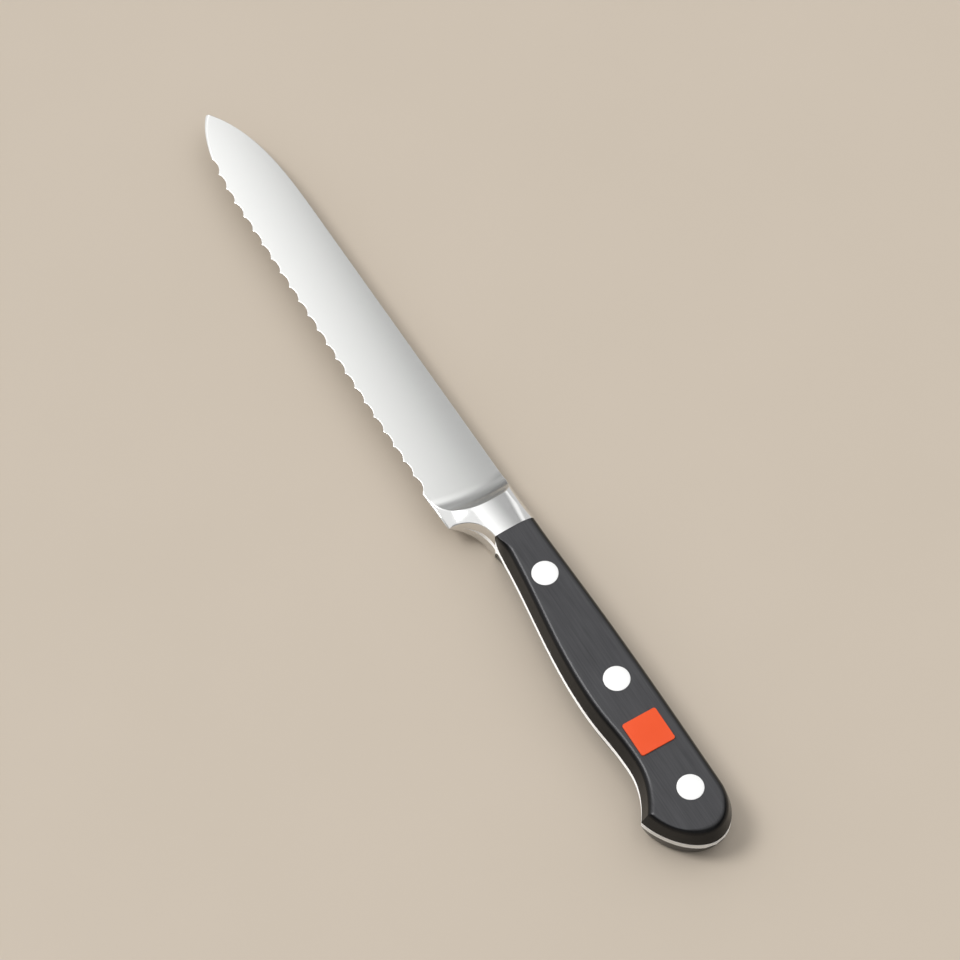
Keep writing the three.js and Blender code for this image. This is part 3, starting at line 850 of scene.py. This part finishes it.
def rivet(place, material):
    """The two halves of a rivet: the sleeve from the left scale, the pin from the right one."""
    middle, size = box_middle(place + "_rivet_sleeve")
    x, y = middle[:2]
    head = size[0] / 2
    seat = HALF - RIVET_HEAD_DEPTH
    mouth = RIVET_END_GAP - seat
    bore_end = HALF - SLEEVE_CROWN
    bore = PIN_DIAMETER / 2 + FIT_GAP
    sleeve_profile = [
        (0, bore_end),
        (bore, bore_end),
        (bore, mouth),
        (SLEEVE_DIAMETER / 2, mouth),
        (SLEEVE_DIAMETER / 2, seat),
        (head, seat),
    ] + head_profile(head, HALF)
    sleeve = turned(place + "_sleeve", sleeve_profile, x, y, 1, material)
    pin_end = bore_end - RIVET_END_GAP
    pin_profile = [
        (0, -pin_end),
        (PIN_DIAMETER / 2, -pin_end),
        (PIN_DIAMETER / 2, seat),
        (head, seat),
    ] + head_profile(head, HALF - RIVET_DOME)
    pin = turned(place + "_pin", pin_profile, x, y, -1, material)
    dressed(sleeve, "rivet_steel", place + "_rivet_sleeve")
    dressed(pin, "rivet_steel", place + "_rivet_pin")


def badge(material):
    """A square plate with rounded corners and an eased rim."""
    middle, size = box_middle("handle_badge")
    low, high = middle[2] - size[2] / 2, middle[2] + size[2] / 2
    levels = [(0, low), (0, high - BADGE_EASE)]
    for a in np.linspace(0, math.pi / 2, BADGE_EASE_STEPS)[1:]:
        levels.append((BADGE_EASE * (1 - math.cos(a)), high - BADGE_EASE * (1 - math.sin(a))))
    loops = []
    for inset, z in levels:
        loop = rounded_square(*middle[:2], size[0] - 2 * inset, BADGE_CORNER - inset)
        loops.append(lifted(loop, z))
    count = len(loops[0])
    bands = [band(count) + i * count for i in range(len(loops) - 1)]
    faces = [tuple(f) for f in np.concatenate(bands)]
    ring = np.arange(count)
    faces.append(tuple(ring[::-1]))
    faces.append(tuple(ring + count * (len(loops) - 1)))
    return mesh_object("badge", placed(np.concatenate(loops)), faces, [material])


# Materials: tones are the dark and light end of a grain, and a grain is given by its size in
# millimetres along x, y and z

GRAIN_DETAIL = 4.0
NOISE_MIDDLE = (0.3, 0.7)  # where most values of a noise lie
STEEL_BUMP = 0.5
# The heel's tones are darker than the tip's: painted shade for the blade's reflection, which dims
# towards the heel.
BLADE_TIP_TONES = ((0.77, 0.775, 0.76), (0.83, 0.83, 0.815))
BLADE_HEEL_SHADED_TONES = ((0.64, 0.645, 0.63), (0.70, 0.70, 0.685))
BLADE_GRAIN = (0.05, 6, 6)
BLADE_ROUGHNESS = (0.19, 0.25)
BLADE_SCRATCH = 0.0002
BLADE_DRAWING = 0.6  # how much the glints are drawn out along one way
BOLSTER_TONES = ((0.80, 0.80, 0.79), (0.84, 0.84, 0.83))
BOLSTER_GRAIN = (0.1, 5, 5)
BOLSTER_ROUGHNESS = (0.14, 0.18)
BOLSTER_SCRATCH = 0.0002
# Tang tones are raised well above steel's: a painted highlight on the strip seen along the handle and
# under the bolster.
TANG_TONES_WITH_PAINTED_HIGHLIGHT = ((0.90, 0.90, 0.89), (0.95, 0.95, 0.94))
TANG_GRAIN = (6, 0.15, 0.15)
TANG_ROUGHNESS = (0.46, 0.53)
TANG_SCRATCH = 0.001
TANG_DRAWING = 0.9
RIVET_TONES = ((0.90, 0.90, 0.89), (0.94, 0.94, 0.93))
RIVET_GRAIN = (3, 0.08, 0.3)
RIVET_ROUGHNESS = (0.55, 0.65)
RIVET_SCRATCH = 0.001
# The flat faces' grey is partly their sanding and partly painted light; the near-black of the sides
# and roundings is painted shade, set by how steeply each surface faces up.
FACE_TONES_WITH_PAINTED_LIGHT = ((0.048, 0.048, 0.051), (0.076, 0.076, 0.080))
SANDED_ROUGHNESS = (0.32, 0.44)
SIDE_TONES_WITH_PAINTED_SHADE = ((0.004, 0.004, 0.0042), (0.007, 0.007, 0.0073))
MOULDED_ROUGHNESS = (0.18, 0.24)
PAINTED_SHADE_TURN = (0.75, 0.998)  # steepness of the normal over which the sides' painted shade turns to the flat faces' grey
GLOSS_TURN = (0.92, 0.998)
HANDLE_STREAKS = (14, 0.35, 0.35)
STREAK_DETAIL = 5
STREAK_SHARE = 0.65
STREAK_DEPTH = 0.02
STREAK_BUMP = 0.35
HANDLE_CLOUD = (9, 3, 3)
CLOUD_DETAIL = 2
CLOUD_SHARE = 0.35
HANDLE_SPECULAR = 0.2
BADGE_TONES = ((0.83, 0.085, 0.018), (0.87, 0.100, 0.024))
BADGE_CLOUD = (6, 6, 6)
BADGE_ROUGHNESS = (0.30, 0.40)
BADGE_SPECULAR = 0.3
FLOOR_TONES = ((0.55, 0.475, 0.385), (0.58, 0.50, 0.41))
FLOOR_CLOUD = (60, 60, 60)
FLOOR_DETAIL = 3
FLOOR_ROUGHNESS = 0.6


def new_material(name):
    """An empty material, with its node tree and shader."""
    material = bpy.data.materials.new(name)
    material.use_nodes = True
    tree = material.node_tree
    return material, tree, tree.nodes["Principled BSDF"]


def grain(tree, size, detail=GRAIN_DETAIL):
    """Noise of a size in the knife's own millimetres."""
    coordinates = tree.nodes.new("ShaderNodeTexCoord")
    mapping = tree.nodes.new("ShaderNodeMapping")
    mapping.inputs["Scale"].default_value = [1 / (length * MM) for length in size]
    noise = tree.nodes.new("ShaderNodeTexNoise")
    noise.inputs["Scale"].default_value = 1
    noise.inputs["Detail"].default_value = detail
    tree.links.new(coordinates.outputs["Object"], mapping.inputs["Vector"])
    tree.links.new(mapping.outputs["Vector"], noise.inputs["Vector"])
    return noise.outputs["Fac"]


def ranged(tree, value, source, target=(0, 1), soft=False):
    """A value carried from one range to another and held at its ends, evenly or softly."""
    node = tree.nodes.new("ShaderNodeMapRange")
    node.interpolation_type = "SMOOTHSTEP" if soft else "LINEAR"
    names = ("From Min", "From Max", "To Min", "To Max")
    for name, number in zip(names, (*source, *target)):
        node.inputs[name].default_value = number
    tree.links.new(value, node.inputs["Value"])
    return node.outputs["Result"]


def spread(tree, noise, target):
    """The middle of a noise stretched over a range."""
    return ranged(tree, noise, NOISE_MIDDLE, target)


def two_tone(tree, factor, tones):
    """A colour that goes from a dark to a light tone."""
    node = tree.nodes.new("ShaderNodeMix")
    node.data_type = "RGBA"
    node.inputs["A"].default_value = (*tones[0], 1)
    node.inputs["B"].default_value = (*tones[1], 1)
    tree.links.new(factor, node.inputs["Factor"])
    return node.outputs["Result"]


def blended(tree, kind, factor, first, second):
    """A colour (RGBA) or number (FLOAT) that goes from one to another."""
    node = tree.nodes.new("ShaderNodeMix")
    node.data_type = kind
    tree.links.new(factor, node.inputs["Factor"])
    tree.links.new(first, node.inputs["A"])
    tree.links.new(second, node.inputs["B"])
    return node.outputs["Result"]


def reckoned(tree, operation, *values):
    """The result of a sum over other nodes' values and plain numbers."""
    node = tree.nodes.new("ShaderNodeMath")
    node.operation = operation
    for socket, value in zip(node.inputs, values):
        if isinstance(value, float):
            socket.default_value = value
        else:
            tree.links.new(value, socket)
    return node.outputs[0]


def part_of(tree, vector, axis):
    """One coordinate of a vector."""
    node = tree.nodes.new("ShaderNodeSeparateXYZ")
    tree.links.new(vector, node.inputs["Vector"])
    return node.outputs[axis]


def bumped(tree, shader, value, height, strength):
    """Gives a shader a fine relief, of a height in millimetres."""
    node = tree.nodes.new("ShaderNodeBump")
    node.inputs["Distance"].default_value = height * MM
    node.inputs["Strength"].default_value = strength
    tree.links.new(value, node.inputs["Height"])
    tree.links.new(node.outputs["Normal"], shader.inputs["Normal"])


def drawn_out(tree, shader, axis, amount):
    """Draws a metal's glints out along an axis of the knife."""
    way = tree.nodes.new("ShaderNodeCombineXYZ")
    way.inputs[axis].default_value = 1
    shader.inputs["Anisotropic"].default_value = amount
    tree.links.new(way.outputs["Vector"], shader.inputs["Tangent"])


def ground_steel(name, size, roughness, scratch):
    """Steel ground in lines of a size, before it has its colour."""
    material, tree, shader = new_material(name)
    shader.inputs["Metallic"].default_value = 1
    lines = grain(tree, size)
    tree.links.new(spread(tree, lines, roughness), shader.inputs["Roughness"])
    bumped(tree, shader, lines, scratch, STEEL_BUMP)
    return material, tree, shader, lines


def blade_satin():
    """Satin ground across the blade, a little darker to the heel as painted shade of its dimmer
    reflection there; glints drawn out lengthwise.
    """
    material, tree, shader, lines = ground_steel(
        "blade_steel", BLADE_GRAIN, BLADE_ROUGHNESS, BLADE_SCRATCH
    )
    coordinates = tree.nodes.new("ShaderNodeTexCoord")
    x = part_of(tree, coordinates.outputs["Object"], "X")
    along = ranged(tree, x, (cad_low.x, cad_low.x + BLADE_LENGTH * MM))
    # Painted shade: the tone darkens from the tip's to the heel's along the blade.
    tip = two_tone(tree, lines, BLADE_TIP_TONES)
    heel = two_tone(tree, lines, BLADE_HEEL_SHADED_TONES)
    tree.links.new(blended(tree, "RGBA", along, tip, heel), shader.inputs["Base Color"])
    drawn_out(tree, shader, "X", BLADE_DRAWING)
    return material


def bolster_polish():
    """Polished steel."""
    material, tree, shader, lines = ground_steel(
        "bolster_steel", BOLSTER_GRAIN, BOLSTER_ROUGHNESS, BOLSTER_SCRATCH
    )
    tree.links.new(two_tone(tree, lines, BOLSTER_TONES), shader.inputs["Base Color"])
    return material


def tang_satin():
    """Satin ground along the tang, which draws its glints out across the strip that is seen; its tone
    is raised well above steel's as a painted highlight on the strip.
    """
    material, tree, shader, lines = ground_steel(
        "tang_steel_with_painted_highlight", TANG_GRAIN, TANG_ROUGHNESS, TANG_SCRATCH
    )
    tree.links.new(two_tone(tree, lines, TANG_TONES_WITH_PAINTED_HIGHLIGHT), shader.inputs["Base Color"])
    drawn_out(tree, shader, "Z", TANG_DRAWING)
    return material


def rivet_matt():
    """Bright steel with a matt face."""
    material, tree, shader, lines = ground_steel(
        "rivet_steel", RIVET_GRAIN, RIVET_ROUGHNESS, RIVET_SCRATCH
    )
    tree.links.new(two_tone(tree, lines, RIVET_TONES), shader.inputs["Base Color"])
    return material


def handle_black():
    """Flat faces brought level with the rivets by sanding and left rough, sides with their glossy
    skin from the mould. The faces' grey is partly their sanding and partly painted light; the sides'
    near-black is painted shade, set by how steeply each surface faces up.
    """
    material, tree, shader = new_material("handle_black")
    streaks = grain(tree, HANDLE_STREAKS, STREAK_DETAIL)
    cloud = grain(tree, HANDLE_CLOUD, CLOUD_DETAIL)
    weighted = reckoned(tree, "MULTIPLY", streaks, STREAK_SHARE)
    tone = spread(tree, reckoned(tree, "MULTIPLY_ADD", cloud, CLOUD_SHARE, weighted), (0, 1))
    # Painted light and shade: a grey tone for the flat faces, a near-black one for the sides.
    face_colour_and_light = two_tone(tree, tone, FACE_TONES_WITH_PAINTED_LIGHT)
    side_colour_and_shade = two_tone(tree, tone, SIDE_TONES_WITH_PAINTED_SHADE)
    geometry = tree.nodes.new("ShaderNodeNewGeometry")
    level = reckoned(tree, "ABSOLUTE", part_of(tree, geometry.outputs["Normal"], "Z"))
    # The mask of the painted shade: how steeply the surface faces up.
    painted_shade_turn = ranged(tree, level, PAINTED_SHADE_TURN, soft=True)
    gloss_turn = ranged(tree, level, GLOSS_TURN, soft=True)
    smooth = spread(tree, streaks, MOULDED_ROUGHNESS)
    rough = spread(tree, streaks, SANDED_ROUGHNESS)
    colour = blended(tree, "RGBA", painted_shade_turn, side_colour_and_shade, face_colour_and_light)
    roughness = blended(tree, "FLOAT", gloss_turn, smooth, rough)
    tree.links.new(colour, shader.inputs["Base Color"])
    tree.links.new(roughness, shader.inputs["Roughness"])
    shader.inputs["Specular IOR Level"].default_value = HANDLE_SPECULAR
    bumped(tree, shader, streaks, STREAK_DEPTH, STREAK_BUMP)
    return material


def badge_red():
    """Smooth red plastic."""
    material, tree, shader = new_material("badge_red")
    cloud = grain(tree, BADGE_CLOUD, CLOUD_DETAIL)
    tree.links.new(two_tone(tree, cloud, BADGE_TONES), shader.inputs["Base Color"])
    tree.links.new(spread(tree, cloud, BADGE_ROUGHNESS), shader.inputs["Roughness"])
    shader.inputs["Specular IOR Level"].default_value = BADGE_SPECULAR
    return material


def floor_material():
    """A plain pale surface."""
    material, tree, shader = new_material("pale_floor")
    cloud = grain(tree, FLOOR_CLOUD, FLOOR_DETAIL)
    tree.links.new(two_tone(tree, cloud, FLOOR_TONES), shader.inputs["Base Color"])
    shader.inputs["Roughness"].default_value = FLOOR_ROUGHNESS
    return material


# Knife

steels = [blade_satin(), bolster_polish(), tang_satin()]
rivet_steel = rivet_matt()
black = handle_black()
red = badge_red()

dressed(forging(steels), "forged_steel", "blade_and_tang")
badge_middle, badge_size = box_middle("handle_badge")
pocket = rounded_square(*badge_middle[:2], badge_size[0] + 2 * FIT_GAP, BADGE_CORNER + FIT_GAP)
dressed(scale("scale_left", 1, pocket, black), "scale_black", "left_scale")
dressed(scale("scale_right", -1, None, black), "scale_black", "right_scale")
for rivet_place in RIVETS:
    rivet(rivet_place, rivet_steel)
dressed(badge(red), "badge_red", "handle_badge")

# Floor, light and camera

FLOOR_SIZE = 40
HORIZON_LEVEL = 0.18
OVERHEAD_LEVEL = 0.07

# Round soft lights in the sky: azimuth, elevation, radius of the full light, radius at which it
# has faded out, and level. Angles are degrees, azimuth 0 is +X and 90 is +Y.
LIGHTS = (
    (181, 56.5, 11.4, 16.4, 0.87),  # high beyond the tip
    (214, 33, 32.7, 44.4, 0.795),  # wide, beyond the tip on the edge's side
    (228, 55, 4, 14, 13),  # the main light, which casts the shadows
    (146, 32, 4, 9, 0.55),  # small, beyond the tip on the spine's side
    (128, 14.5, 33.6, 38.6, 0.526),  # wide and low on the spine's side
    (75, 60, 15, 45, 1.0),  # wide and high on the spine's side
    (330, 35, 20, 60, 0.3),  # wide and faint on the butt's side
    (169, 42, 3, 11, 0.24),  # small and faint beyond the tip
)

# Camera: place and target in the knife's own millimetres
SENSOR_WIDTH = 36
LENS = 144.7
EYE = (530.5, -232.2, 865.0)
TARGET = (132.75, 6.04, 0)


def stage_floor():
    """The plain floor that the knife lies on."""
    bpy.ops.mesh.primitive_plane_add(size=FLOOR_SIZE)
    floor = bpy.context.object
    floor.name = "floor"
    floor.data.materials.append(floor_material())


def soft_light(tree, azimuth, elevation, inner, outer, level):
    """The brightness of one of the soft lights over the sky."""
    around, up = math.radians(azimuth), math.radians(elevation)
    way = (math.cos(up) * math.cos(around), math.cos(up) * math.sin(around), math.sin(up))
    coordinates = tree.nodes.new("ShaderNodeTexCoord")
    facing = tree.nodes.new("ShaderNodeVectorMath")
    facing.operation = "DOT_PRODUCT"
    facing.inputs[1].default_value = way
    tree.links.new(coordinates.outputs["Generated"], facing.inputs[0])
    rim = (math.cos(math.radians(outer)), math.cos(math.radians(inner)))
    return ranged(tree, facing.outputs["Value"], rim, (0, level), soft=True)


def studio_world():
    """Soft light from all round, from the horizon to overhead, with the soft lights in it."""
    world = bpy.data.worlds.new("studio")
    bpy.context.scene.world = world
    world.use_nodes = True
    tree = world.node_tree
    coordinates = tree.nodes.new("ShaderNodeTexCoord")
    height = part_of(tree, coordinates.outputs["Generated"], "Z")
    level = ranged(tree, height, (0, 1), (HORIZON_LEVEL, OVERHEAD_LEVEL))
    for light in LIGHTS:
        level = reckoned(tree, "ADD", level, soft_light(tree, *light))
    background = tree.nodes["Background"]
    background.inputs["Color"].default_value = (1, 1, 1, 1)
    tree.links.new(level, background.inputs["Strength"])


def photo_camera():
    """The camera at the photograph's angle."""
    camera = bpy.data.cameras.new("camera")
    camera.sensor_width = SENSOR_WIDTH
    camera.lens = LENS
    piece = bpy.data.objects.new("camera", camera)
    eye = Vector(placed(EYE))
    target = Vector(placed(TARGET))
    piece.location = eye
    piece.rotation_euler = (eye - target).to_track_quat("Z", "Y").to_euler()
    bpy.context.scene.collection.objects.link(piece)
    bpy.context.scene.camera = piece


stage_floor()
studio_world()
photo_camera()
bpy.context.scene.view_settings.view_transform = "Standard"
